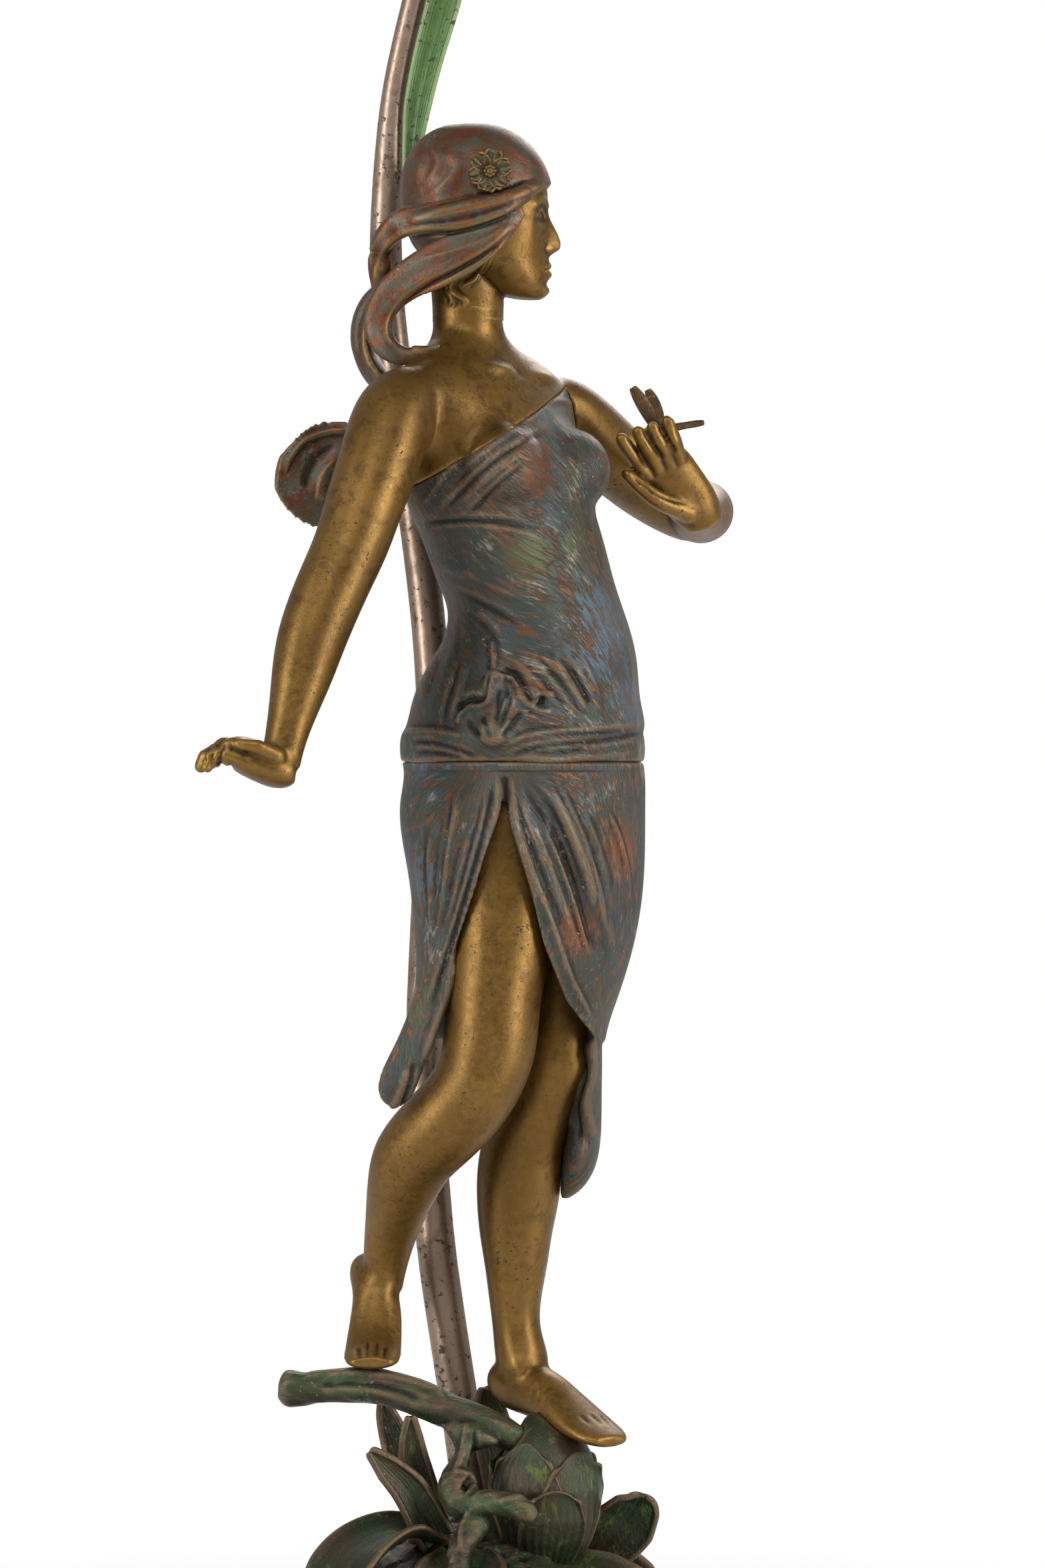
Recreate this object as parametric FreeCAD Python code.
"""Figural table lamp: a draped maiden in cold-painted cast zinc stands on a bud and a branch,
on a leafy mound. A tapered tube rises behind her like a plant stem, arches over her head and
carries a keyed lampholder with a glass shade.

Millimetres. +Z is up, and the origin is the centre of the underside. The figure looks along +X,
and her chest faces +X and -Y, so -Y is the side that the lamp is seen from.
"""
import FreeCAD
import Part
import math
import os

V = FreeCAD.Vector
X_AXIS = V(1, 0, 0)
Y_AXIS = V(0, 1, 0)
Z_AXIS = V(0, 0, 1)

# ---------------------------------------------------------------- driving dimensions
BASE_RADIUS = 84.0          # foot of the plinth
FELT_THICK = 1.5
PLATE_THICK = 1.5
PLINTH_TOP = 26.0
TORSO_WALL = 3.2            # slush-cast zinc
SKIRT_WALL = 4.0
SASH_LOW = 321.0            # the sash band between bodice and skirt
SASH_HIGH = 330.5
NECK_SEAM = 466.0           # head casting meets shoulder casting
STEM_BORE_SHARE = 0.68      # bore of the stem as a share of its outer radius
LEAD_RADIUS = 1.7           # twin flex inside the stem
LAMP_X = 143.0              # axis of the hanging lampholder
LAMP_Y = 0.0
STEM_END_Z = 686.0
NIPPLE_OUTER = 5.0          # M10 x 1
HOLDER_RADIUS = 13.0
HOLDER_WALL = 0.9
KEY_Z = 671.0               # axis of the switch key
SHADE_SEAT_Z = 651.0        # top face of the glass shade's flat neck
SHADE_RIM_Z = 583.0
SHADE_RIM_RADIUS = 51.0
GLASS_THICK = 2.6
RING_POINTS = 16            # points in a smooth closed section

os.makedirs("parts", exist_ok=True)


# ---------------------------------------------------------------- shape helpers
def unit(v):
    return V(v).multiply(1.0 / v.Length)


def ring(centre, across, depth, half_width, half_depth):
    """A smooth closed oval in the plane of two unit vectors."""
    points = []
    for k in range(RING_POINTS):
        t = 2 * math.pi * k / RING_POINTS
        points.append(centre + across * (half_width * math.cos(t)) + depth * (half_depth * math.sin(t)))
    curve = Part.BSplineCurve()
    curve.interpolate(Points=points, PeriodicFlag=True)
    return Part.Wire(curve.toShape())


def loft(wires):
    solid = Part.makeLoft(wires, True)
    if solid.Volume < 0:
        solid.reverse()
    return solid


def tangents(points):
    last = len(points) - 1
    return [unit(points[min(k + 1, last)] - points[max(k - 1, 0)]) for k in range(last + 1)]


def limb(stations, ref=Y_AXIS, grow=0.0):
    """A lofted limb. A station is x, y, z, half width, half depth, and the depth lies along ref."""
    points = [V(*s[:3]) for s in stations]
    wires = []
    for station, point, along in zip(stations, points, tangents(points)):
        depth = unit(ref - along * ref.dot(along))
        across = depth.cross(along)
        wires.append(ring(point, across, depth, station[3] + grow, station[4] + grow))
    return loft(wires)


def trunk(sections, shrink=0.0):
    """A lofted trunk of level ovals: z, centre x, centre y, half width, half depth, yaw in degrees."""
    wires = []
    for z, x, y, half_width, half_depth, yaw in sections:
        turn = math.radians(yaw)
        across = V(math.cos(turn), math.sin(turn), 0)
        depth = V(-math.sin(turn), math.cos(turn), 0)
        wires.append(ring(V(x, y, z), across, depth, half_width - shrink, half_depth - shrink))
    return loft(wires)


def blade(stations, normal=Y_AXIS, side=None, thick=1.8):
    """A cupped leaf or ribbon of lens section. A station is x, y, z, half width, cup.

    The cup bows along normal. A ribbon that turns over takes the way of its width as side instead.
    """
    points = [V(*s[:3]) for s in stations]
    wires = []
    for station, point, along in zip(stations, points, tangents(points)):
        if side:
            across = unit(side - along * side.dot(along))
            face = across.cross(along)
        else:
            face = unit(normal - along * normal.dot(along))
            across = along.cross(face)
        half, cup = station[3], station[4]
        left, right = point - across * half, point + across * half
        front = Part.Arc(left, point + face * (cup - thick / 2), right).toShape()
        back = Part.Arc(right, point + face * (cup + thick / 2), left).toShape()
        wires.append(Part.Wire([front, back]))
    return loft(wires)


def turned(profile, x=0.0, y=0.0):
    """A solid turned about a vertical axis from points of radius and height."""
    points = [V(x + r, y, z) for r, z in profile]
    face = Part.Face(Part.makePolygon(points + points[:1]))
    return face.revolve(V(x, y, 0), Z_AXIS, 360)


def rod(start, end, radius):
    way = V(*end) - V(*start)
    return Part.makeCylinder(radius, way.Length, V(*start), way)


def ball(x, y, z, radius):
    return Part.makeSphere(radius, V(x, y, z))


def oval_ball(centre, radii, yaw=0.0, pitch=0.0):
    """A lofted oval ball, turned by pitch about Y and then by yaw about Z, in degrees."""
    turn = FreeCAD.Rotation(yaw, pitch, 0)
    along = turn.multVec(X_AXIS)
    stations = []
    for k in range(9):
        angle = math.radians(-76 + 19 * k)
        spot = V(*centre) + along * (radii[0] * math.sin(angle))
        stations.append((*spot, radii[2] * math.cos(angle), radii[1] * math.cos(angle)))
    return limb(stations, ref=turn.multVec(Y_AXIS))


def fuse(first, *others):
    return first.multiFuse(list(others)).removeSplitter() if others else first


def main_solid(shape):
    return max(shape.Solids, key=lambda s: s.Volume)


def cut(shape, *tools):
    """What is left of a shape after its neighbours are taken away, without loose crumbs."""
    for tool in tools:
        shape = shape.cut(tool)
    return main_solid(shape)


def half_space(point, normal):
    """A big block on the side of a plane that normal points to."""
    block = Part.makeBox(400, 400, 400, V(-200, -200, 0))
    block.Placement = FreeCAD.Placement(V(*point), FreeCAD.Rotation(Z_AXIS, V(*normal)))
    return block


def save(name, shape):
    shape.exportStep(f"parts/{name}.step")
    print(f"{name:22s} solids {len(shape.Solids):2d} valid {shape.isValid()} volume {shape.Volume:10.1f}")


# ---------------------------------------------------------------- legs
RIGHT_LEG = [  # the bent leg, nearest to the viewer: thigh, knee, calf, ankle
    (9.4, -17, 312, 18.8, 18.4), (9.2, -20, 290, 18.6, 18.0), (8.4, -22, 272, 17.4, 17.0),
    (7.3, -24, 256, 16.4, 16.4),
    (5.1, -26.5, 236, 15.4, 15.4), (1.0, -27, 218, 14.6, 14.4), (-8.6, -23, 204.5, 14.2, 13.6),
    (-18.4, -16.5, 194, 13.6, 12.6), (-24.8, -7, 180, 11.4, 10.8), (-28.2, 2, 166, 8.8, 8.6),
    (-30.6, 8, 153, 7.2, 7.2), (-31.4, 9.5, 147, 6.8, 7.0),
]
RIGHT_FOOT = [  # on tiptoe on the branch: heel, arch, ball, toes
    (-37.6, 18.5, 155.5, 3.2, 3.0), (-36.4, 16, 153, 6.0, 6.2), (-34.2, 10.5, 147.5, 7.2, 8.0),
    (-33.2, 4, 139.5, 8.2, 6.6), (-33.6, -3, 131.5, 9.0, 5.2), (-34, -9.5, 127, 9.3, 4.2),
    (-34.2, -15.5, 125, 8.8, 3.0), (-34.3, -19.5, 124.4, 6.4, 1.8),
]
LEFT_LEG = [  # the standing leg
    (26.8, 15, 312, 18.4, 18.2), (27.6, 13, 290, 18.2, 18.0), (28.4, 10, 272, 16.8, 16.8),
    (28.6, 7, 256, 15.4, 15.8),
    (27.2, 3.5, 237, 13.4, 14.2), (25.0, 1, 222, 12.2, 13.0), (21.6, 3, 210.5, 12.2, 12.6),
    (17.0, 6.5, 199, 13.4, 13.4), (14.6, 9, 188, 14.0, 13.8), (13.6, 10.5, 176, 13.6, 13.2),
    (13.0, 11, 165, 12.1, 12.0), (13.0, 11.5, 154, 10.4, 10.8), (12.8, 12, 143, 8.7, 9.4),
    (13.4, 12, 132, 8.0, 8.8), (15.0, 11, 123, 8.6, 9.2), (15.8, 10.5, 118, 7.4, 8.4),
]
LEFT_FOOT = [  # sloping down over the bud: heel, arch, ball, toes
    (6.4, 19.0, 116.4, 3.4, 3.4), (9.2, 16.0, 115.8, 7.0, 7.4), (17.5, 8.0, 113.6, 8.2, 9.0),
    (26.0, -1.0, 109.6, 9.2, 7.6), (33.0, -9.5, 105.2, 10.4, 5.6), (38.2, -16.0, 102.2, 10.4, 3.9),
    (42.0, -21.0, 100.2, 9.0, 2.8), (44.2, -24.0, 99.2, 6.0, 1.7),
]


def leg(leg_stations, foot_stations):
    return main_solid(fuse(limb(leg_stations), limb(foot_stations, ref=Z_AXIS)))


right_leg = leg(RIGHT_LEG, RIGHT_FOOT)
left_leg = cut(leg(LEFT_LEG, LEFT_FOOT), right_leg)
save("right_leg", right_leg)
save("left_leg", left_leg)

# ---------------------------------------------------------------- trunk and dress
TRUNK = [  # hips, waist, ribs, shoulders, neck
    (SASH_HIGH, 15.4, 0, 45.0, 34.5, 48), (340, 16.7, 0, 43.2, 33.0, 48), (352, 18.6, 0, 39.4, 30.4, 48),
    (363, 20.5, 0, 34.8, 27.2, 48), (371, 19.6, 0, 33.0, 25.6, 48), (381, 16.2, 0, 33.6, 25.6, 49),
    (392, 12.8, 0, 34.8, 25.8, 50), (404, 8.6, 0, 36.0, 26.2, 50), (420, 4.8, 0, 36.4, 25.6, 50),
    (432, 2.8, 0, 38.4, 22.8, 50), (440, 2.0, 0, 40.4, 19.0, 50), (447, 1.4, 0.5, 38.0, 15.8, 50),
    (452, 0.4, 1, 29.6, 13.8, 50), (456.5, -1.2, 1, 19.4, 12.6, 50), (461, -2.4, 0.6, 13.6, 11.8, 50),
    (NECK_SEAM, -2.8, 0.4, 11.7, 11.5, 50),
]
CHEST_YAW = math.radians(50)
CHEST_SIDE = V(math.cos(CHEST_YAW), math.sin(CHEST_YAW), 0)
CHEST_FRONT = V(math.sin(CHEST_YAW), -math.cos(CHEST_YAW), 0)
CHEST_CENTRE = V(4.8, 0, 417.0)
BREAST_SPREAD = 17.0
BREAST_FORWARD = 18.5
BREAST_RADIUS = 14.0
NECKLINE_POINT = (8.0, -22.0, 427.5)     # the plane in which dress and bare shoulders meet
NECKLINE_NORMAL = (-0.50, -0.12, 0.86)
SKIRT = [
    (SASH_LOW, 15.4, 0, 45.4, 34.6, 48), (309, 15.6, 0, 46.2, 35.0, 48), (297, 15.7, -1, 45.8, 35.0, 48),
    (285, 16.6, -2, 43.8, 34.2, 47), (271, 16.7, -3, 41.4, 33.2, 46), (257, 15.6, -4, 38.6, 32.0, 45),
    (243, 12.8, -4, 36.4, 31.0, 45), (229, 9.6, -4, 35.4, 30.4, 45),
]
SLIT = [  # the open front of the skirt, x and z
    (8.2, 310), (-2.0, 276), (-11.0, 246), (-19.0, 222), (44.0, 222), (38.5, 231), (29.5, 243),
    (22.0, 262), (17.0, 283), (11.0, 304),
]
SLIT_BACK_Y = -4.0
SKIRT_BELOW = (220, 7.8, -4, 35.0, 30.0, 45)

torso = trunk(TRUNK)
for side in (-1, 1):
    spot = CHEST_CENTRE + CHEST_SIDE * (side * BREAST_SPREAD) + CHEST_FRONT * BREAST_FORWARD
    torso = fuse(torso, ball(spot.x, spot.y, spot.z, BREAST_RADIUS))
torso = main_solid(torso)
hollow = trunk([s for s in TRUNK if s[0] < 445], shrink=TORSO_WALL)
above_neckline = half_space(NECKLINE_POINT, NECKLINE_NORMAL)
shell = torso.cut(hollow)
shoulders = main_solid(shell.common(above_neckline))
bodice = main_solid(shell.cut(above_neckline))
save("shoulders", shoulders)
save("bodice", bodice)

sash_side, sash_front = 45.9, 35.3
sash = trunk([(z, 15.4, 0, sash_side + bulge, sash_front + bulge, 48)
              for z, bulge in ((SASH_LOW, -0.4), (SASH_LOW + 3, 0), (SASH_HIGH - 3, 0), (SASH_HIGH, -0.7))])
sash_hollow = trunk([(SASH_LOW - 1, 15.4, 0, 42, 31, 48), (SASH_HIGH + 1, 15.4, 0, 42, 31, 48)])
sash = cut(sash, sash_hollow)
save("sash", sash)

slit = Part.Face(Part.makePolygon([V(x, -120, z) for x, z in SLIT + SLIT[:1]]))
slit = slit.extrude(V(0, 120 + SLIT_BACK_Y, 0))
skirt_room = trunk(SKIRT[1:] + [SKIRT_BELOW], shrink=SKIRT_WALL)   # an open shell under a deck
skirt = cut(trunk(SKIRT), skirt_room, slit, right_leg, left_leg)
save("skirt", skirt)

FLAP = [  # the rolled hem of the skirt, and the lobe in which it ends over the bent knee
    (-5.0, -30.0, 272, 2.6, 2.0), (-8.4, -30.6, 261, 4.4, 2.8), (-12.6, -31.2, 249, 5.4, 3.2),
    (-16.6, -32, 238, 5.6, 3.4), (-20.5, -33, 228, 5.8, 3.4), (-24.2, -33, 219.5, 6.2, 3.4),
    (-26.2, -32, 213.5, 5.6, 3.0), (-26.6, -31, 209.4, 2.6, 1.8),
]
flap = cut(limb(FLAP), skirt, right_leg)
save("skirt_flap", flap)

TAIL = [  # the end of the cloth that hangs outside the standing leg
    (39.0, -6, 234, 2.6, 8.0), (38.0, -3, 224, 3.4, 9.6), (36.6, 0, 212, 4.8, 10.6),
    (35.6, 3, 200, 5.6, 10.8), (34.0, 5, 189, 5.6, 9.0), (31.0, 7, 180.5, 3.4, 5.0),
    (28.8, 8, 177.0, 1.2, 2.4),
]
tail = cut(limb(TAIL), skirt, left_leg)
save("skirt_tail", tail)

KNOT = (5.6, -42.0, 330.5)
bow = fuse(
    oval_ball(KNOT, (5.0, 4.2, 5.4)),
    oval_ball((KNOT[0] - 9.0, KNOT[1] + 6.4, KNOT[2] + 8.5), (8.0, 3.2, 4.4), yaw=-35, pitch=35),
    oval_ball((KNOT[0] + 8.6, KNOT[1] - 1.4, KNOT[2] + 9.6), (8.0, 3.2, 4.4), yaw=-20, pitch=-32),
    oval_ball((KNOT[0] + 0.2, KNOT[1] + 2.6, KNOT[2] + 12.5), (4.4, 3.4, 8.0)),
)
bow = cut(bow, sash, bodice, skirt)
save("sash_bow", bow)

# ---------------------------------------------------------------- arms and hands
RIGHT_ARM = [  # hangs down and back, from inside the shoulder to the wrist
    (-19.0, -23, 441.0, 9.0, 9.0), (-24.0, -29.5, 437.0, 12.2, 11.8), (-28.2, -35.5, 428.0, 13.4, 12.6),
    (-31.2, -40, 418.0, 13.2, 12.4), (-36.0, -45.5, 403.5, 12.6, 12.0), (-40.0, -50, 391.0, 12.0, 11.6),
    (-44.4, -54, 380.5, 11.7, 11.2), (-48.8, -57, 370.0, 11.5, 11.2), (-52.4, -60, 359.8, 11.0, 10.8),
    (-55.1, -63, 349.5, 9.9, 9.8), (-57.6, -66, 339.2, 8.2, 8.2), (-60.0, -69, 329.2, 6.8, 6.6),
    (-61.2, -70.4, 323.2, 6.3, 5.8), (-61.8, -71, 319.6, 6.2, 5.6),
]
RIGHT_PALM = [  # the hand is bent back at the wrist: width along Y, thickness along Z
    (-57.4, -71, 318.2, 4.6, 3.8), (-60.6, -71, 318.0, 6.8, 5.6), (-65.4, -71.6, 318.8, 8.0, 5.6),
    (-70.4, -72, 320.2, 8.6, 4.8), (-74.6, -72, 321.2, 8.6, 3.8), (-76.4, -72, 321.6, 8.2, 2.8),
]
LEFT_ARM = [  # reaches out from the far shoulder to the elbow
    (23.0, 24, 440.0, 9.0, 9.0), (29.0, 30.5, 437.8, 12.2, 11.8), (36.0, 37.5, 432.0, 13.2, 12.6),
    (44.0, 45.5, 425.4, 12.9, 12.3), (52.6, 54, 418.6, 12.2, 11.8), (61.6, 63, 412.4, 11.4, 11.2),
    (70.0, 71, 408.0, 10.9, 10.6), (75.4, 76.6, 406.4, 10.0, 9.8), (79.4, 80.6, 405.6, 6.4, 6.2),
]
LEFT_FOREARM = [  # folds back towards the viewer, to the wrist
    (76.8, 81, 406.6, 6.0, 6.0), (76.4, 75, 406.8, 10.4, 10.2), (76.0, 63, 406.4, 10.8, 10.4),
    (76.2, 50, 405.6, 9.4, 9.0), (75.8, 37, 404.6, 7.4, 7.0), (75.0, 27, 403.8, 6.5, 5.8),
    (74.2, 22, 404.2, 6.4, 5.4),
]
LEFT_PALM = [
    (75.6, 24, 400.6, 6.4, 4.4), (74.4, 22, 403.6, 7.6, 5.2), (70.2, 19, 409.4, 8.8, 5.2),
    (65.8, 16, 415.2, 9.0, 4.4), (62.6, 13.8, 419.4, 8.8, 3.6), (61.6, 13, 420.8, 8.4, 2.8),
]
FINGER_RADII = (2.3, 2.15, 2.0, 1.85, 1.5)


def finger(*joints, radii=FINGER_RADII):
    """A finger through its joints, from the knuckle to the tip, with rounded ends."""
    joints = [V(*j) for j in joints]
    solid = ball(*joints[0], radii[0])
    for k, (near, far) in enumerate(zip(joints, joints[1:])):
        way = far - near
        bone = Part.makeCone(radii[k], radii[k + 1], way.Length, near, way)
        solid = fuse(solid, bone, ball(*far, radii[k + 1]))
    return solid


right_arm = cut(limb(RIGHT_ARM), shoulders, bodice, hollow)
save("right_arm", right_arm)
# Spread from the middle of the hand, further reach and lift of each finger
RIGHT_FINGERS = ((-6.6, 0.0, 0.0), (-2.2, 2.2, 0.6), (2.2, 2.6, 0.9), (6.4, 0.6, 0.2))
right_fingers = []
for spread, reach, lift in RIGHT_FINGERS:
    y = -72 + spread
    right_fingers.append(finger((-74.5, y, 321.6), (-79.6 - reach, y + spread * 0.05, 323.6 + lift),
                                (-83.4 - reach, y, 322.4), (-84.8 - reach, y, 319.2)))
right_thumb = finger((-63.0, -77.5, 322.4), (-69.0, -80.5, 325.6), (-74.5, -80.0, 326.4),
                     radii=(2.9, 2.3, 1.9))
right_hand = fuse(limb(RIGHT_PALM, ref=Z_AXIS), right_thumb, *right_fingers)
right_hand = cut(right_hand, right_arm)
save("right_hand", right_hand)

left_arm = fuse(limb(LEFT_ARM, ref=Z_AXIS), limb(LEFT_FOREARM, ref=Z_AXIS))
left_arm = cut(left_arm, shoulders, bodice, hollow)
save("left_arm", left_arm)
LEFT_TIPS = ((47.6, 3.4, 428.0), (53.2, 3.4, 430.6), (58.0, 3.8, 432.4), (63.0, 5.4, 434.2))
LEFT_KNUCKLES = ((56.6, 13.4, 416.2), (60.2, 12.6, 418.6), (63.8, 12.6, 420.2), (67.4, 13.4, 421.0))
left_fingers = []
for knuckle, tip in zip(LEFT_KNUCKLES, LEFT_TIPS):
    middle = [(a + b) / 2 for a, b in zip(knuckle, tip)]
    middle[1] -= 2.2
    left_fingers.append(finger(knuckle, middle, tip, radii=(2.3, 2.0, 1.5)))
left_thumb = finger((70.5, 17.0, 404.0), (60.5, 10.0, 407.6), (49.8, 7.6, 416.2), radii=(3.4, 2.5, 1.9))
left_hand = fuse(limb(LEFT_PALM), left_thumb, *left_fingers)
left_hand = cut(left_hand, left_arm)
save("left_hand", left_hand)

# A dragonfly between the raised fingers: a head, a tapered tail and a pair of flat wings
FLY_TAIL = [  # from the thorax to the tip of the tail
    (58.6, 8.4, 430.9, 1.5, 1.5), (61.6, 8.8, 431.2, 1.9, 1.8), (66.0, 9.3, 432.0, 1.4, 1.4),
    (71.0, 9.8, 432.9, 1.2, 1.2), (75.4, 10.3, 433.6, 0.8, 0.8),
]
FLY_WINGS = [  # each wing from its root to its tip, flat along Y: x, y, z, half width, cup
    [(59.6, 8.6, 430.4, 1.1, 0.1), (57.6, 8.0, 435.0, 2.0, 0.3), (54.8, 7.2, 440.0, 2.3, 0.3),
     (51.6, 6.3, 445.0, 1.2, 0.1)],
    [(61.4, 9.8, 430.6, 1.1, 0.1), (60.4, 10.8, 435.4, 1.9, 0.3), (58.8, 11.8, 440.0, 2.1, 0.3),
     (56.8, 12.8, 444.6, 1.1, 0.1)],
]
dragonfly = fuse(limb(FLY_TAIL), *[blade(wing, thick=1.2) for wing in FLY_WINGS])
dragonfly = cut(dragonfly, left_hand)
save("dragonfly", dragonfly)

# ---------------------------------------------------------------- head and headscarf
HEAD = [  # z, centre x, half length, half width: chin to crown, on plain head proportions
    (473.4, 15.6, 4.6, 4.4), (475.6, 13.6, 8.6, 8.4), (480.0, 9.8, 13.2, 12.6), (485.6, 5.2, 17.6, 15.8),
    (491.5, 2.2, 20.8, 17.6), (498.5, 0.8, 22.6, 18.6), (507.0, 0.2, 23.2, 18.8), (515.5, -0.6, 21.8, 17.4),
    (522.5, -1.2, 17.6, 14.0), (527.2, -1.4, 11.4, 9.0), (529.3, -1.4, 4.6, 3.6),
]
NECK = [
    (-2.8, 0.4, NECK_SEAM, 11.7, 11.5), (-3.0, 0.2, 472, 11.6, 11.4), (-3.2, 0, 479, 12.0, 11.8),
    (-3.4, 0, 487, 12.6, 12.4),
]
SCARF_THICK = 2.0
WRAP_POINT = (3.4, 0, 493.0)              # the wrap's lower edge runs from forehead to nape
WRAP_NORMAL = (-0.66, 0, 0.75)


def head_form(grow):
    wires = [ring(V(x, 0, z + grow * (z - 500) / 30), X_AXIS, Y_AXIS, length + grow, width + grow)
             for z, x, length, width in HEAD]
    return loft(wires)


nose = limb([(21.8, 0, 502.4, 2.0, 1.7), (23.0, 0, 498.6, 2.5, 2.0), (24.2, 0, 495.0, 3.0, 2.5),
             (24.6, 0, 491.8, 3.3, 3.0), (22.8, 0, 489.6, 2.6, 2.6)])
head = cut(fuse(head_form(0.0), limb(NECK), nose), shoulders)
save("head", head)

wrap_side = half_space(WRAP_POINT, WRAP_NORMAL)
wrap = head_form(SCARF_THICK).common(wrap_side)
wrap = cut(wrap, head)
save("headscarf", wrap)

FLOWER = V(4.6, -18.5, 513.6)       # the centre of its back
FLOWER_DEPTH = 4.0
PETALS = 6
PETAL_RADIUS = 2.4
PETAL_CIRCLE = 4.1


def flower_disc(turn, reach, radius, depth):
    x, z = FLOWER.x + reach * math.cos(turn), FLOWER.z + reach * math.sin(turn)
    return rod((x, FLOWER.y, z), (x, FLOWER.y - depth, z), radius)


petals = [flower_disc(2 * math.pi * k / PETALS, PETAL_CIRCLE, PETAL_RADIUS, FLOWER_DEPTH)
          for k in range(PETALS)]
flower = fuse(flower_disc(0, 0, 3.0, FLOWER_DEPTH), *petals, flower_disc(0, 0, 1.6, FLOWER_DEPTH + 1.2))
flower = cut(flower, wrap, head)
save("scarf_flower", flower)

RIBBON_UPPER = [  # from the brow band, back over the ear, and down behind the head
    (17.0, -15.6, 508.2, 3.4, 1.5), (6.0, -20.6, 502.8, 4.6, 1.8), (-7.0, -21.8, 499.4, 5.2, 2.0),
    (-18.0, -19.0, 498.4, 5.0, 2.2), (-26.0, -14.4, 496.6, 4.4, 2.4), (-30.6, -11.6, 491.0, 3.9, 2.4),
    (-31.8, -10.6, 484.0, 3.8, 2.4), (-31.0, -10.4, 477.6, 3.5, 2.2), (-31.0, -10.2, 473.6, 1.5, 1.2),
]
RIBBON_LOWER = [  # the broad lower ribbon, which turns under itself on the shoulder
    (14.0, -16.8, 502.4, 3.2, 1.5), (4.0, -20.4, 493.0, 6.0, 1.9), (-8.0, -20.2, 485.8, 7.2, 2.2),
    (-19.0, -17.0, 480.4, 6.8, 2.4), (-28.0, -14.2, 473.6, 5.6, 2.6), (-32.0, -13.4, 465.6, 4.9, 2.6),
    (-30.2, -14.2, 458.0, 4.2, 2.5), (-24.4, -15.4, 454.0, 3.2, 2.2), (-17.0, -16.2, 455.0, 1.8, 1.6),
]
SCARF_LOOP = [  # the big loop behind the neck: x, y, z, half width along Y, cup
    (-19.0, -6.0, 477.0, 6.4, 1.0), (-27.6, -2.4, 475.2, 8.0, 1.3), (-33.8, -0.6, 470.0, 9.0, 1.2),
    (-36.2, -1.4, 461.4, 9.2, 1.0), (-34.2, -4.0, 452.2, 8.6, 1.0), (-29.4, -7.2, 445.6, 6.8, 0.8),
    (-24.6, -9.0, 441.6, 5.0, 0.6),
]
SCARF_END = [  # the free end that blows out behind the shoulder: x, y, z, half width, cup
    (-22.0, -9.0, 422.0, 9.5, 0.6), (-33.0, -7.0, 419.0, 14.4, 1.6), (-43.0, -6.4, 416.4, 17.6, 2.6),
    (-52.0, -7.4, 414.8, 17.6, 2.8), (-60.0, -9.2, 415.2, 12.8, 2.0), (-65.4, -10.6, 416.0, 5.4, 0.8),
]
SCARF_FOLD = 5.0            # thickness of the doubled cloth
LOOP_FOLD = 8.0             # the loop is rolled, so it is thicker
ribbon_upper = cut(limb(RIBBON_UPPER), wrap, head, flower)
save("ribbon_upper", ribbon_upper)
ribbon_lower = cut(limb(RIBBON_LOWER), wrap, head, ribbon_upper, shoulders, right_arm)
save("ribbon_lower", ribbon_lower)
scarf_loop = cut(blade(SCARF_LOOP, side=Y_AXIS, thick=LOOP_FOLD), wrap, head, ribbon_upper, ribbon_lower,
                 shoulders, right_arm)
save("scarf_loop", scarf_loop)

# ---------------------------------------------------------------- stem, its leaf and its lead
STEM = [  # x, y, z, outer radius: from the base cavity, behind the figure, over the arch
    (0.0, 24, 10, 6.0), (0.0, 24, 34, 6.2), (-1.0, 24, 62, 6.4), (-3.6, 24.6, 90, 6.5),
    (-8.0, 26, 120, 6.5),
    (-13.6, 28, 158, 6.5), (-16.6, 29.6, 195, 6.4), (-17.6, 30.6, 230, 6.2), (-16.4, 31, 265, 6.1),
    (-14.8, 31, 300, 6.0), (-14.4, 31, 335, 5.9), (-16.2, 31, 366, 5.8), (-20.0, 31, 398, 5.7),
    (-24.6, 31, 432, 5.6), (-28.8, 31, 464, 5.5), (-30.6, 30.8, 492, 5.4), (-30.0, 30.6, 516, 5.0),
    (-27.6, 30.4, 545, 4.3), (-22.0, 30, 572, 4.1), (-12.8, 29.4, 607, 4.05), (-0.2, 27.6, 644, 4.0),
    (17.8, 24.4, 681, 4.0), (43.0, 18.8, 713, 4.0), (77.0, 10.6, 733, 4.0), (110.0, 3.6, 732, 4.0),
    (134.0, 0.4, 715, 4.0), (LAMP_X - 0.4, 0, 698, 4.0), (LAMP_X, 0, STEM_END_Z, 4.0),
]
LEAD_TAIL = [  # from the terminal block up into the foot of the stem
    (12.0, 24, 7.6, 0), (8.6, 24, 7.2, 0), (5.2, 24, 7.4, 0), (2.2, 24, 9.8, 0), (0.8, 24, 14.4, 0),
]
STEM_LEAF = [  # x, y, z, half width: the blade that clasps the stem above the head
    (-23.6, 27.4, 512, 0.7), (-21.6, 26.6, 527, 3.0), (-20.0, 26.2, 540, 4.3), (-16.6, 26.0, 556, 4.9),
    (-12.2, 25.6, 572, 5.4), (-3.4, 24.8, 604, 5.9), (9.4, 23.0, 638, 5.8), (26.0, 19.8, 668, 5.2),
    (43.0, 15.6, 688, 4.0), (56.0, 11.8, 697, 2.4), (64.0, 9.2, 699, 0.8),
]


def round_run(stations, share=1.0, radius=None):
    return limb([(x, y, z, radius or r * share, radius or r * share) for x, y, z, r in stations],
                ref=V(0.1, 1, 0))


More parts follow.
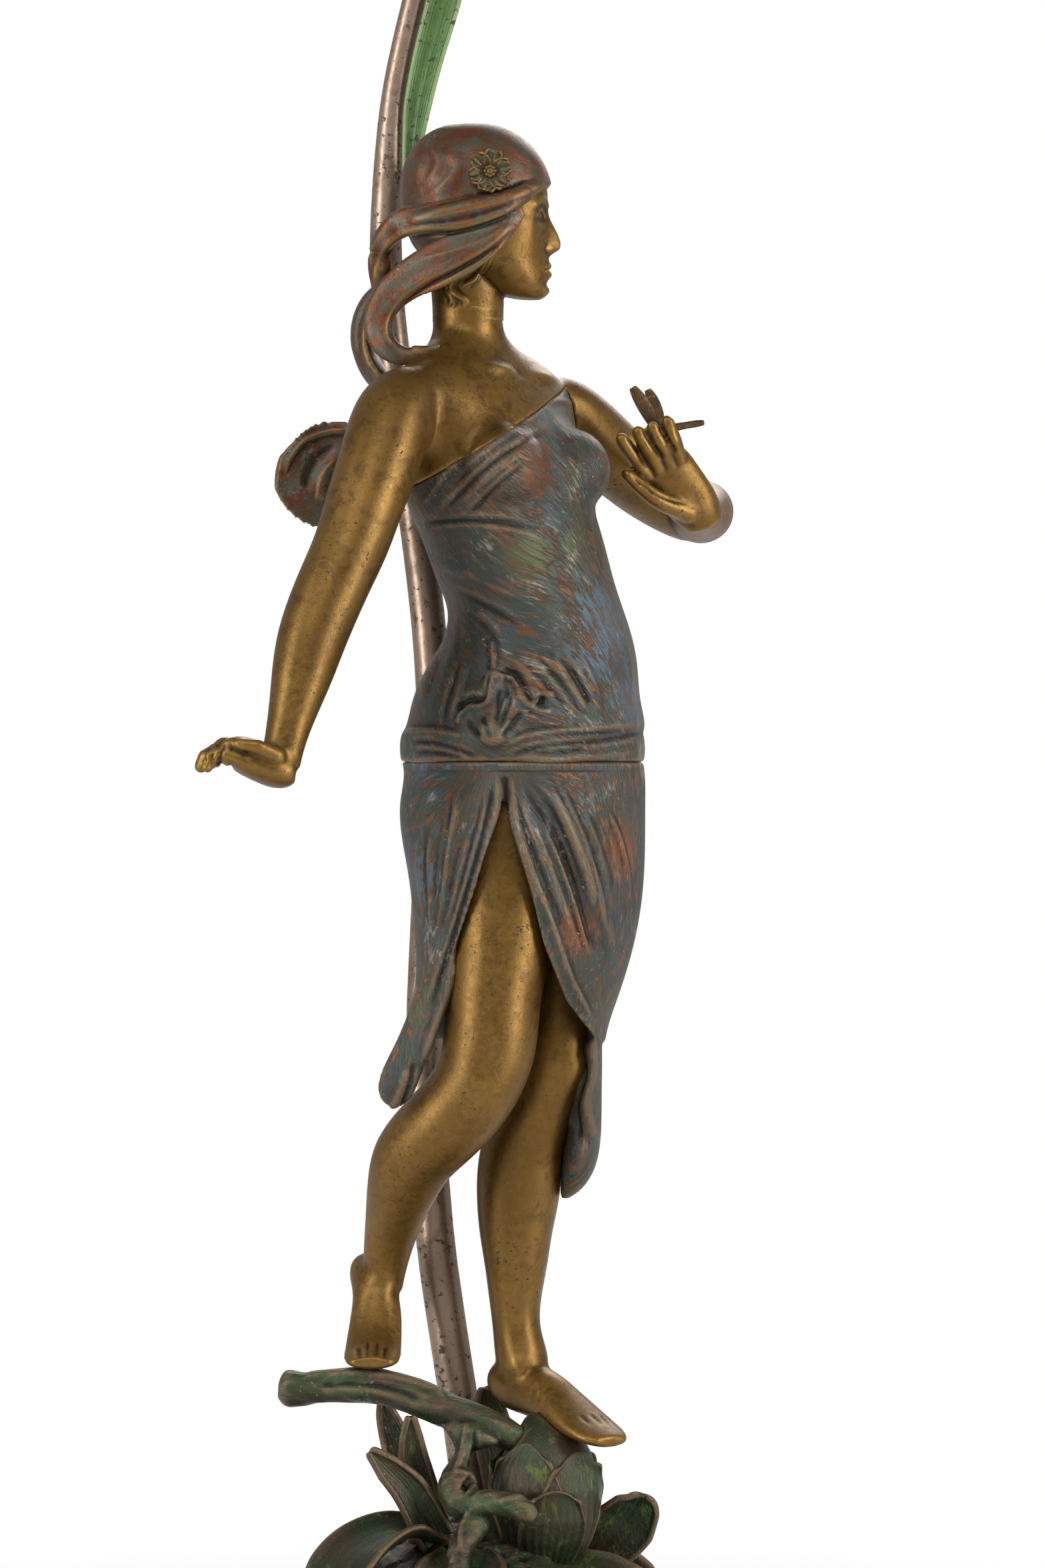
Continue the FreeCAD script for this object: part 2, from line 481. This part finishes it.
stem_outer = round_run(STEM)
low, high = STEM[0], STEM[-1]
past_ends = [(low[0], low[1], low[2] - 4, low[3])] + STEM + [(high[0], high[1], high[2] - 4, high[3])]
stem_tube = cut(stem_outer, round_run(past_ends, share=STEM_BORE_SHARE))
save("stem_tube", stem_tube)
stem_leaf = blade([(x, y, z, half, 0.9) for x, y, z, half in STEM_LEAF], normal=Y_AXIS, thick=1.6)
stem_leaf = cut(stem_leaf, stem_outer)
save("stem_leaf", stem_leaf)
lead_way = LEAD_TAIL + [s for s in STEM if s[2] > 30] + [(LAMP_X, LAMP_Y, 680.0, 4.0)]
lead = round_run(lead_way, radius=LEAD_RADIUS)
save("inner_lead", lead)
scarf_end = cut(blade(SCARF_END, thick=SCARF_FOLD), right_arm, shoulders, bodice, scarf_loop, stem_outer)
save("scarf_end", scarf_end)

# ---------------------------------------------------------------- plinth, mound and what fixes them
LEDGE_LOW = PLINTH_TOP - 4.0     # underside of the ledge that the strap pulls up against
PLINTH = [  # radius and height, round the section of a hollow turned ring
    (BASE_RADIUS, 3), (BASE_RADIUS, 8), (BASE_RADIUS - 1.5, 10), (BASE_RADIUS - 4, 10.6),
    (BASE_RADIUS - 7, 13), (BASE_RADIUS - 8.6, 17), (BASE_RADIUS - 8.6, 19.5), (BASE_RADIUS - 7.4, 21),
    (BASE_RADIUS - 7.4, 24.5), (BASE_RADIUS - 9, PLINTH_TOP), (62, PLINTH_TOP), (62, LEDGE_LOW),
    (69, LEDGE_LOW), (69, 12), (78, 6), (78, 3),
]
MOUND = [  # z, centre x, centre y, half width, half depth, yaw
    (PLINTH_TOP, 0, 0, 73, 72, 0), (34, 0, 0, 70.5, 69, 8), (44, 1, 1, 62, 60, 16), (53, 2, 3, 50, 48, 24),
    (61, 3, 5, 37, 35, 32), (67, 3, 7, 25, 23, 40), (70.5, 3, 8, 12, 11, 48),
]
MOUND_WALL = 5.0
MOUND_ROOF = 3.4
STEM_XY = (0.0, 24.0)            # where the stem passes through the base
STEM_HOLE_RADIUS = 6.8
STUD_RADIUS = 2.5
STUD_XY = (22.0, -6.0)           # under the standing foot
STUD_SEAT_Z = 57.0
PLATE_TOP = FELT_THICK + PLATE_THICK
PLATE_RADIUS = 77.5
FELT_RADIUS = 80.0
SCREW_CIRCLE = 71.5
SCREW_RADIUS = 1.7
BUSH_BORE = 3.5                  # clear hole for the mains flex
BUSH_Z = 17.4
BUSH_RADIUS = 5.2
STRAP_THICK = 3.0
STRAP_Z = LEDGE_LOW - STRAP_THICK


def upright(xy, low_z, high_z, radius):
    return rod((*xy, low_z), (*xy, high_z), radius)


def nut(xy, low_z, high_z, across):
    """A solid hexagon. Its bore is cut by the thread that goes through it."""
    corner = across / math.sqrt(3)
    turns = [math.radians(60 * k) for k in range(7)]
    points = [V(xy[0] + corner * math.cos(t), xy[1] + corner * math.sin(t), low_z) for t in turns]
    return Part.Face(Part.makePolygon(points)).extrude(V(0, 0, high_z - low_z))


screw_spots = [(SCREW_CIRCLE * math.cos(a), SCREW_CIRCLE * math.sin(a))
               for a in (math.radians(30 + 120 * k) for k in range(3))]
felt = turned([(0, 0), (FELT_RADIUS, 0), (FELT_RADIUS, FELT_THICK), (0, FELT_THICK)])
save("felt_pad", felt)
plate = turned([(0, FELT_THICK), (PLATE_RADIUS, FELT_THICK), (PLATE_RADIUS, PLATE_TOP), (0, PLATE_TOP)])
plate = cut(plate, *[upright(xy, 0, 10, 2.0) for xy in screw_spots])
save("base_plate", plate)

# Three bosses stand inside the plinth for the screws that hold the plate
plinth = fuse(turned(PLINTH), *[upright(xy, PLATE_TOP, 14, 3.8) for xy in screw_spots])
plinth = cut(plinth, *[upright(xy, 0, 11, SCREW_RADIUS) for xy in screw_spots],
             rod((0, BASE_RADIUS + 5, BUSH_Z), (0, 60, BUSH_Z), BUSH_RADIUS))
save("plinth", plinth)
plate_screws = [fuse(upright(xy, FELT_THICK, PLATE_TOP, 2.0), upright(xy, PLATE_TOP, 10, SCREW_RADIUS))
                for xy in screw_spots]
save("plate_screws", Part.makeCompound(plate_screws))

# Cord inlet: a turned bush in the back wall of the plinth, with a clear bore
bush = turned([(BUSH_BORE, 0), (6.8, 0), (6.8, 1.5), (BUSH_RADIUS, 2.0), (BUSH_RADIUS, 13),
               (BUSH_BORE, 13)])
bush.Placement = FreeCAD.Placement(V(0, BASE_RADIUS - 3.7, BUSH_Z), FreeCAD.Rotation(Z_AXIS, V(0, -1, 0)))
save("cord_bush", cut(bush, plinth))

mound_outer = trunk(MOUND)
mound_room = trunk([(z - MOUND_ROOF, x, y, w - MOUND_WALL, d - MOUND_WALL, yaw)
                    for z, x, y, w, d, yaw in MOUND])
stud_boss = upright(STUD_XY, STUD_SEAT_Z, 80, 8.0).common(mound_outer)
mound = fuse(mound_outer.cut(mound_room), stud_boss)
mound = cut(mound, rod((*STEM_XY, 10), (STEM_XY[0] - 1.4, STEM_XY[1], 76), STEM_HOLE_RADIUS),
            upright(STUD_XY, 40, 80, STUD_RADIUS))
save("mound", mound)

# A flange brazed to the stem sits on the mound. The strap below is drawn up against the
# plinth's ledge by two nuts on the stem, which clamps mound and plinth together.
collar = upright(STEM_XY, 66, 72.5, 12.0)
collar = cut(collar, mound_outer, stem_outer)
save("stem_collar", collar)
strap = Part.makeBox(134, 16, STRAP_THICK, V(-67, STEM_XY[1] - 8, STRAP_Z))
strap = cut(strap, plinth, stem_outer)
save("stem_strap", strap)
stem_nuts = [cut(nut(STEM_XY, STRAP_Z - high, STRAP_Z - low, 19), stem_outer)
             for low, high in ((0, 4.2), (4.2, 7.8))]
stud = cut(upright(STUD_XY, 50, 104, STUD_RADIUS), left_leg)
save("foot_stud", stud)
foot_nut = cut(nut(STUD_XY, STUD_SEAT_Z - 4, STUD_SEAT_Z, 9), stud)
save("lock_nuts", Part.makeCompound(stem_nuts + [foot_nut]))

# Terminal block beside the stem, where the outside flex joins the inner lead
BLOCK_SIZE = (10.0, 18.0, 9.0)
BLOCK_X = 12.0
block = Part.makeBox(*BLOCK_SIZE, V(BLOCK_X, STEM_XY[1] - BLOCK_SIZE[1] / 2, PLATE_TOP))
for way_y in (STEM_XY[1] - 5.0, STEM_XY[1] + 5.0):
    block = cut(block, rod((BLOCK_X - 1, way_y, 7.6), (BLOCK_X + 11, way_y, 7.6), 1.6),
                upright((BLOCK_X + 5, way_y), 7.6, 14, 1.5))
save("terminal_block", block)

# ---------------------------------------------------------------- bud, branch, twig and leaves
BUD = [  # x, y, z, half width, half depth
    (23, -9, 58, 9.0, 9.0), (23, -9, 64, 13.4, 13.4), (23, -9, 73, 16.8, 16.6), (23, -9, 83, 17.4, 17.2),
    (22.6, -8.6, 93, 15.0, 15.0), (21.0, -7.4, 101, 9.6, 9.8), (19.0, -6, 106.5, 3.0, 3.0),
]
BRANCH = [  # the cut end at the left, under the toes, and down to the bud
    (-64.5, -10, 116.0, 3.6, 4.4), (-60.0, -10.4, 115.2, 6.2, 6.0), (-53.0, -11, 115.6, 5.0, 5.4),
    (-44.0, -11.6, 116.4, 5.6, 5.6), (-34.0, -12, 116.4, 5.9, 5.9), (-24.0, -12.6, 114.2, 6.0, 5.9),
    (-13.0, -13.2, 109.8, 5.8, 5.8), (-2.0, -13.6, 105.6, 5.6, 5.6), (8.0, -12.6, 101.6, 5.2, 5.2),
    (15.0, -11, 98.0, 4.0, 4.0),
]
TWIG = [  # drops from the branch to a knob, then curls forward and down
    (-1.6, -15.0, 104.0, 4.6, 4.2), (-3.2, -18.4, 97.0, 4.4, 4.2), (-5.6, -21.8, 89.6, 4.6, 4.8),
    (-5.8, -24.6, 83.4, 6.6, 6.2), (-3.0, -27.4, 78.6, 6.0, 5.4), (0.2, -30.6, 74.0, 4.6, 4.2),
    (-3.6, -34.2, 68.0, 4.2, 3.8), (-5.6, -36.6, 60.6, 4.0, 3.8), (-3.4, -39.6, 52.6, 3.6, 3.4),
    (1.4, -43.4, 46.0, 2.8, 2.8), (5.0, -46.4, 42.6, 1.2, 1.2),
]
SPUR = [  # the blunt side shoot of the twig
    (-2.0, -28.6, 78.6, 3.6, 3.6), (5.0, -32.0, 80.4, 4.2, 3.8), (11.6, -34.4, 79.8, 4.0, 3.6),
    (17.0, -36.0, 77.4, 3.6, 3.4), (19.6, -36.6, 75.8, 1.6, 1.6),
]
UPRIGHT = V(0.25, -1.0, 0.15)
LEAVES = {  # name: stations of x, y, z, half width, cup, then the way the cup bows
    "leaf_front_left": ([(-12, -16, 68, 8, 2), (-23, -22, 73, 12, 4), (-34, -30, 70, 14, 5),
                         (-43, -39, 62, 14, 5), (-50, -48, 48, 11, 4), (-54, -54, 34, 4, 1)],
                        V(-0.3, -0.3, 1)),
    "leaf_front": ([(-4, -22, 64, 8, 2), (-4, -36, 61, 14, 4), (-6, -49, 52, 17, 4),
                    (-9, -60, 41, 13, 3), (-11, -66, 32, 4, 1)], V(0, -0.6, 1)),
    "leaf_front_right": ([(22, -20, 60, 9, 2), (38, -28, 58, 15, 4), (52, -36, 50, 16, 4),
                          (62, -44, 39, 11, 3), (66, -49, 31, 3, 1)], V(0.3, -0.4, 1)),
    "leaf_right": ([(36, 2, 57, 6, 1.2), (43, -1, 63, 9.6, 2.0), (49, -3, 70, 10.4, 2.2),
                    (53, -5, 76, 8.0, 1.8), (54.6, -6, 79.6, 3.0, 0.8)], V(0.45, -1.0, 0.2)),
    "leaf_back_right": ([(18, 24, 62, 9, 2), (33, 33, 60, 17, 5), (46, 42, 50, 18, 5),
                         (55, 50, 38, 12, 3), (58, 54, 30, 3, 1)], V(0.3, 0.4, 1)),
    "leaf_back": ([(-10, 38, 58, 8, 2), (-16, 47, 56, 14, 4), (-21, 56, 50, 16, 4),
                   (-25, 64, 40, 11, 3), (-27, 68, 31, 3, 1)], V(-0.1, 0.5, 1)),
    "leaf_left": ([(-18, 6, 64, 9, 2), (-31, 8, 64, 16, 5), (-45, 10, 56, 17, 5),
                   (-57, 12, 43, 13, 3), (-64, 14, 31, 4, 1)], V(-0.4, 0, 1)),
    "sheath_left": ([(-12, -20, 66, 6.0, 1.8), (-17, -23, 75, 6.2, 2.0), (-22, -25.5, 84, 5.4, 1.8),
                     (-28.5, -27.5, 91, 4.0, 1.4), (-34.5, -28.5, 96.6, 1.2, 0.6)], UPRIGHT),
    "sheath_tall": ([(-15, -12, 66, 6.0, 1.8), (-17.5, -14.5, 78, 6.0, 2.0), (-20, -17, 90, 4.8, 1.6),
                     (-21.2, -18.8, 100, 3.2, 1.2), (-21.4, -19.4, 107.0, 1.0, 0.5)], UPRIGHT),
    "bract_left": ([(-15, 3, 66, 6.0, 1.6), (-19.5, 4, 78, 6.4, 1.8), (-25, 4.8, 92, 5.2, 1.6),
                    (-29.4, 5.4, 104, 3.0, 1.0), (-31.2, 5.6, 109, 1.0, 0.5)], V(0.1, -1, 0)),
    "bract_back": ([(12, 20, 66, 6.0, 1.8), (9.4, 18.6, 80, 7.0, 2.0), (6.4, 17.2, 94, 6.6, 1.8),
                    (4.0, 16, 106, 5.0, 1.4), (2.6, 15.4, 113.0, 1.6, 0.6)], V(0.1, -1, 0)),
}
BACK_LEAVES = ("leaf_back_right", "leaf_back", "leaf_left")
LEAF_THICK = 2.6

branch = cut(limb(BRANCH), right_leg, left_leg)
save("branch", branch)
bud = cut(limb(BUD), left_leg, mound_outer, branch, upright(STUD_XY, 40, 110, STUD_RADIUS))
save("bud", bud)
twig = cut(fuse(limb(TWIG), limb(SPUR)), branch, mound_outer, bud)
save("twig", twig)
grown = [branch, bud, twig, mound_outer, collar]
back_leaves = []
for name, (stations, bow_way) in LEAVES.items():
    leaf = cut(blade(stations, normal=bow_way, thick=LEAF_THICK), *grown, stem_outer, right_leg, left_leg)
    grown.append(leaf)
    if name in BACK_LEAVES:
        back_leaves.append(leaf)
    else:
        save(name, leaf)
save("back_leaves", Part.makeCompound(back_leaves))

# ---------------------------------------------------------------- lampholder, hanging from the stem's end
def at_lamp(profile):
    return turned(profile, LAMP_X, LAMP_Y)


nipple = at_lamp([(3.5, 700), (NIPPLE_OUTER, 700), (NIPPLE_OUTER, 682), (3.5, 682)])
nipple = cut(nipple, stem_outer, upright((LAMP_X, LAMP_Y), 670, STEM_END_Z, 3.5))
save("stem_nipple", nipple)

CALYX_LOBES = 5
CALYX_NOTCH = 6.5
calyx = at_lamp([(NIPPLE_OUTER, 700), (6.4, 700), (9.6, 697.4), (13.6, 692.0), (17.0, 685.6), (20.0, 680.4),
                 (19.0, 680.0), (15.8, 684.6), (12.4, 690.8), (8.6, 695.8), (NIPPLE_OUTER, 698.0)])
for k in range(CALYX_LOBES):
    angle = 2 * math.pi * (k + 0.5) / CALYX_LOBES
    notch_xy = (LAMP_X + 22 * math.cos(angle), LAMP_Y + 22 * math.sin(angle))
    calyx = calyx.cut(upright(notch_xy, 670, 702, CALYX_NOTCH))
calyx = cut(calyx, stem_outer)
save("calyx_cap", calyx)

HOLDER_INNER = HOLDER_RADIUS - HOLDER_WALL
HOLDER_STEP_Z = 666.0            # the shell slides into the cap up to here
INSERT_LOW_Z = 656.0
SPINDLE_RADIUS = 1.5
KEY_CLEARANCE = 0.05             # running fit of the spindle in the cap's wall
holder_cap = at_lamp([(NIPPLE_OUTER, 691), (7.5, 691), (10.4, 689.4), (12.4, 686.4), (HOLDER_RADIUS, 682.6),
                      (HOLDER_RADIUS, 660), (HOLDER_INNER, 660), (HOLDER_INNER, 682.2), (11.4, 685.6),
                      (9.8, 688.2), (7.3, 689.9), (NIPPLE_OUTER, 690.0)])
holder_cap = cut(holder_cap, rod((LAMP_X, LAMP_Y, KEY_Z), (LAMP_X, LAMP_Y - 30, KEY_Z),
                                 SPINDLE_RADIUS + KEY_CLEARANCE))
save("holder_cap", holder_cap)

insert = at_lamp([(0, 679), (HOLDER_INNER, 679), (HOLDER_INNER, HOLDER_STEP_Z), (10.2, HOLDER_STEP_Z),
                  (10.2, INSERT_LOW_Z), (0, INSERT_LOW_Z)])
insert = cut(insert, rod((LAMP_X, LAMP_Y - 4, KEY_Z), (LAMP_X, LAMP_Y - 30, KEY_Z), 3.4),
             *[upright((LAMP_X + dx, LAMP_Y), 650, 690, 1.2) for dx in (-7, 7)])
save("holder_insert", insert)
CAP_RADIUS = 6.9                 # screw cap of a small bulb
centre_contact = at_lamp([(0, INSERT_LOW_Z), (2.6, INSERT_LOW_Z), (2.6, 655.2), (1.4, 653.6), (0, 653.4)])
screw_shell = at_lamp([(CAP_RADIUS, INSERT_LOW_Z), (8.6, INSERT_LOW_Z), (8.6, 655), (7.7, 655), (7.7, 640),
                       (CAP_RADIUS, 640)])
save("holder_contacts", Part.makeCompound([centre_contact, screw_shell]))
holder_shell = at_lamp([(11.0, HOLDER_STEP_Z), (HOLDER_INNER, HOLDER_STEP_Z), (HOLDER_INNER, 638),
                        (11.2, 637), (10.4, 637), (10.4, 654), (11.0, 655)])
save("holder_shell", holder_shell)
shade_rings = [
    at_lamp([(HOLDER_INNER, 654.2), (18.0, 654.2), (18.6, 653.2), (18.6, SHADE_SEAT_Z),
             (HOLDER_INNER, SHADE_SEAT_Z)]),
    at_lamp([(HOLDER_INNER, 648.4), (15.0, 648.4), (15.0, 643.0), (14.2, 641), (HOLDER_INNER, 641)]),
]
save("shade_rings", Part.makeCompound(shade_rings))

# Turn key: an outside thumb piece on a spindle that works the rotor inside the insert
rotor = rod((LAMP_X, LAMP_Y - 4.6, KEY_Z), (LAMP_X, LAMP_Y - 10.6, KEY_Z), 3.0)
spindle = rod((LAMP_X, LAMP_Y - 6.5, KEY_Z), (LAMP_X, LAMP_Y - 22, KEY_Z), SPINDLE_RADIUS)
key_collar = rod((LAMP_X, LAMP_Y - 14.0, KEY_Z), (LAMP_X, LAMP_Y - 16.5, KEY_Z), 2.8)
thumb = oval_ball((LAMP_X, LAMP_Y - 22.5, KEY_Z), (1.4, 5.0, 5.6))
save("switch_rotor", cut(rotor, spindle))
save("switch_key", fuse(spindle, key_collar, thumb))

# Glass shade with a gently waved rim, clamped at its flat neck between the two rings
SHADE = [  # radius and height of the outside of the bell
    (17.5, 650.4), (24.0, 646.6), (31.0, 637.0), (36.2, 624.0), (39.4, 611.0), (42.4, 599.0),
    (46.4, 590.0), (SHADE_RIM_RADIUS, SHADE_RIM_Z),
]
SHADE_WAVES = 6
SHADE_WAVE = 2.4


def bell_ring(radius, z):
    """A level ring of the shade. The waves grow from nothing at the shoulder to full at the rim."""
    share = max(0.0, (SHADE[3][1] - z) / (SHADE[3][1] - SHADE_RIM_Z))
    points = []
    for k in range(SHADE_WAVES * 8):
        t = 2 * math.pi * k / (SHADE_WAVES * 8)
        r = radius + SHADE_WAVE * share * math.cos(SHADE_WAVES * t)
        points.append(V(LAMP_X + r * math.cos(t), LAMP_Y + r * math.sin(t), z))
    curve = Part.BSplineCurve()
    curve.interpolate(Points=points, PeriodicFlag=True)
    return Part.Wire(curve.toShape())


outside = loft([bell_ring(r, z) for r, z in [(16.4, SHADE_SEAT_Z)] + SHADE])
inside = [(r - GLASS_THICK, z) for r, z in SHADE[1:]]
inside = loft([bell_ring(15.0, SHADE_SEAT_Z - GLASS_THICK)] + [bell_ring(r, z) for r, z in inside]
              + [bell_ring(inside[-1][0] + 0.8, SHADE_RIM_Z - 2)])
shade = cut(outside, inside, upright((LAMP_X, LAMP_Y), 640, 660, HOLDER_INNER + 0.4))
save("glass_shade", shade)

# Bulb: glass, screw cap, and the filament on its stem
BULB_CENTRE_Z = 609.5
BULB_RADIUS = 19.0
glass_wall = 0.9
throat = 6.6
bulb_outer = fuse(ball(LAMP_X, LAMP_Y, BULB_CENTRE_Z, BULB_RADIUS),
                  at_lamp([(0, 638), (throat, 638), (throat + 0.4, 634), (9.6, 629), (14.4, 621.6),
                           (0, 616)]))
bulb_inner = fuse(ball(LAMP_X, LAMP_Y, BULB_CENTRE_Z, BULB_RADIUS - glass_wall),
                  at_lamp([(0, 639), (throat - glass_wall, 639), (throat - glass_wall, 634), (8.6, 628.6),
                           (13.2, 621.4), (0, 616)]))
bulb = main_solid(bulb_outer.cut(bulb_inner))
save("bulb_glass", bulb)
bulb_cap = at_lamp([(0, 653.4), (2.4, 653.4), (3.0, 652.4), (CAP_RADIUS, 650.6), (CAP_RADIUS, 636),
                    (throat, 636), (throat, 638.0), (0, 638.0)])
save("bulb_cap", cut(bulb_cap, bulb))
filament_post = at_lamp([(0, 638.0), (2.6, 638.0), (1.4, 622), (0, 622)])
filament = [rod((LAMP_X, LAMP_Y, 624), (LAMP_X + dx, LAMP_Y, 610), 0.5) for dx in (-7, 7)]
wire = rod((LAMP_X - 7, LAMP_Y, 610), (LAMP_X + 7, LAMP_Y, 610), 0.6)
save("filament", main_solid(fuse(filament_post, *filament, wire)))
